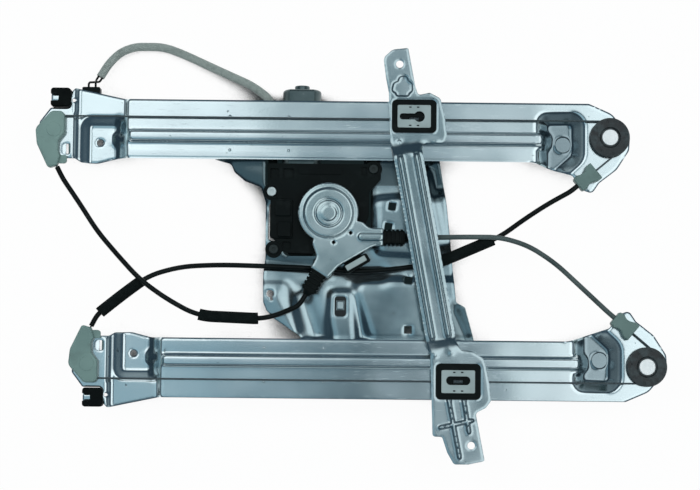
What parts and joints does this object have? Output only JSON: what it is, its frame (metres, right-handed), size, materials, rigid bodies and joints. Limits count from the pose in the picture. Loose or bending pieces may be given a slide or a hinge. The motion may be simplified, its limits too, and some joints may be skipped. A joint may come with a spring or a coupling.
{
  "type": "window regulator",
  "caption": "Dual-rail cable window regulator: mirrored pressed steel rails, motor plate, drum with conduits, pulleys and a slanting lift bracket on sliders.",
  "frame": {"origin": "midway between the two rail holes, on the back face of the rail pads", "axes": "+X along the rails from the hole end to the pulley end, +Y across the rails, +Z from the door panel towards the glass"},
  "size_m": [0.6312, 0.4235, 0.0576],
  "materials": {
    "zinc_steel": "zinc plated sheet, satin",
    "bracket_steel": "zinc plated sheet, satin",
    "cover_steel": "zinc plated deep drawn sheet",
    "bright_steel": "turned steel, bright",
    "can_steel": "drawn steel can, dull",
    "cable_steel": "stranded steel cable, greased",
    "grey_plastic": "grey-green moulded plastic",
    "beige_plastic": "pale moulded plastic",
    "black_plastic": "black moulded plastic",
    "rubber": "black rubber",
    "foam": "black foam tube",
    "black_conduit": "black sheathed cable",
    "grey_conduit": "grey sheathed conduit",
    "fleece": "grey-green fleece tape"
  },
  "bodies": {
    "root": {"control_box": "black_plastic", "drum_conduit": "grey_conduit", "drum_cover": "cover_steel", "drum_housing": "black_plastic", "gear_cover": "black_plastic", "gear_housing": "black_plastic", "harness_connector": "black_plastic", "harness_plug": "black_plastic", "harness_sleeve": "fleece", "harness_wires": "black_conduit", "housing_lid": "black_plastic", "left_conduit_port": "black_plastic", "lower_cable_deflector": "grey_plastic", "lower_conduit": "black_conduit", "lower_conduit_fitting": "grey_plastic", "lower_conduit_sleeve": "foam", "lower_end_buffer": "rubber", "lower_plate_rivets": "bright_steel", "lower_pulley_pin": "bright_steel", "lower_rail": "zinc_steel", "lower_rail_cable": "cable_steel", "lower_rail_stud": "bright_steel", "motor_can": "can_steel", "motor_plate": "zinc_steel", "motor_screws": "bright_steel", "plate_clip": "cover_steel", "plug_body": "black_plastic", "plug_lock": "beige_plastic", "port_cables": "cable_steel", "right_conduit_port": "black_plastic", "right_conduit_sleeve": "foam", "upper_cable_deflector": "grey_plastic", "upper_conduit": "black_conduit", "upper_conduit_fitting": "grey_plastic", "upper_conduit_sleeve": "foam", "upper_end_buffer": "rubber", "upper_plate_rivets": "bright_steel", "upper_pulley_pin": "bright_steel", "upper_rail": "zinc_steel", "upper_rail_cable": "cable_steel", "upper_rail_stud": "bright_steel"},
    "lift": {"lift_bracket": "bracket_steel", "upper_slider": "black_plastic", "upper_slider_frame": "black_plastic", "upper_carrier_plate": "beige_plastic", "upper_cable_nipple": "cable_steel", "lower_slider": "black_plastic", "lower_slider_frame": "black_plastic", "lower_carrier_plate": "beige_plastic", "lower_cable_nipple": "cable_steel"},
    "drum": {"cable_drum": "black_plastic", "drum_cable": "cable_steel", "drum_shaft": "bright_steel"},
    "upper_pulley_wheel": {"upper_pulley": "black_plastic"},
    "lower_pulley_wheel": {"lower_pulley": "black_plastic"}
  },
  "joints": [
    {"name": "lift_slide", "type": "slide", "parent": "root", "child": "lift", "axis": [1, 0, 0], "range_m": [-0.255, 0.088]},
    {"name": "drum_spin", "type": "hinge", "parent": "root", "child": "drum", "pos_m": [0.2119, 0.036, 0.015], "axis": [0, 0, 1], "range_deg": [-210.6, 609.3]},
    {"name": "upper_pulley_spin", "type": "hinge", "parent": "root", "child": "upper_pulley_wheel", "pos_m": [0.49245, 0.1142, 0.017], "axis": [0, 0, 1], "range_deg": [-306.1, 886]},
    {"name": "lower_pulley_spin", "type": "hinge", "parent": "root", "child": "lower_pulley_wheel", "pos_m": [0.52955, -0.1142, 0.017], "axis": [0, 0, 1], "range_deg": [-886, 306.1]}
  ],
  "couplings": [
    {"joint": "drum_spin", "follows": "lift_slide", "rad_per_m": -41.667},
    {"joint": "upper_pulley_spin", "follows": "lift_slide", "rad_per_m": -60.606},
    {"joint": "lower_pulley_spin", "follows": "lift_slide", "rad_per_m": 60.606}
  ]
}
